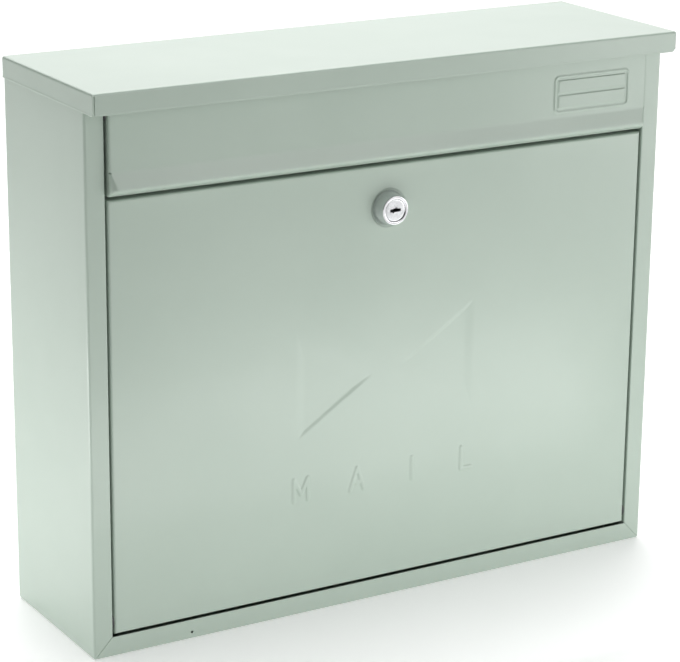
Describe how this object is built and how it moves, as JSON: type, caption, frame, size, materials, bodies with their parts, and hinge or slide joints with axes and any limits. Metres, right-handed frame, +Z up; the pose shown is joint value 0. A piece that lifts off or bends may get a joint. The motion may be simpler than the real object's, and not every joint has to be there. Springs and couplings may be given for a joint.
{
  "type": "wall-mounted post box",
  "caption": "Shallow sheet-steel post box for a wall, with a tray roof, a drop-down locking door and a top-hinged letter flap.",
  "frame": {"origin": "centre of the four wall holes, on the back face that meets the wall", "axes": "+Z up, +Y into the wall, -Y towards the person at the box, +X to that person's right"},
  "size_m": [0.363, 0.1107, 0.31],
  "materials": {
    "painted_steel": "semi-gloss powder coat",
    "chrome": "polished plating",
    "zinc_steel": "bright zinc plating",
    "nylon": "black nylon",
    "rubber": "soft matt rubber"
  },
  "bodies": {
    "case": {"casing": "painted_steel", "back_panel": "painted_steel", "roof": "painted_steel", "cross_rail": "painted_steel", "rail_rivets": "zinc_steel", "flap_buffers": "rubber", "door_pin_left": "zinc_steel", "door_pin_right": "zinc_steel", "flap_pin_left": "zinc_steel", "flap_pin_right": "zinc_steel", "door_washers": "nylon", "flap_washers": "nylon"},
    "door_leaf": {"door": "painted_steel", "lock_housing": "chrome", "lock_washer": "zinc_steel", "lock_nut": "zinc_steel"},
    "lock_core": {"lock_plug": "chrome", "cam_stop_washer": "zinc_steel", "lock_cam": "zinc_steel", "cam_screw": "zinc_steel"},
    "flap_leaf": {"flap": "painted_steel"}
  },
  "joints": [
    {"name": "door_hinge", "type": "hinge", "parent": "case", "child": "door_leaf", "pos_m": [0, -0.093, -0.136], "axis": [1, 0, 0], "range_deg": [0, 110]},
    {"name": "flap_hinge", "type": "hinge", "parent": "case", "child": "flap_leaf", "pos_m": [0, -0.094, 0.1411], "axis": [-1, 0, 0], "range_deg": [0, 70]},
    {"name": "lock_turn", "type": "hinge", "parent": "door_leaf", "child": "lock_core", "pos_m": [0, -0.09, 0.0721], "axis": [0, 1, 0], "range_deg": [0, 90]}
  ]
}
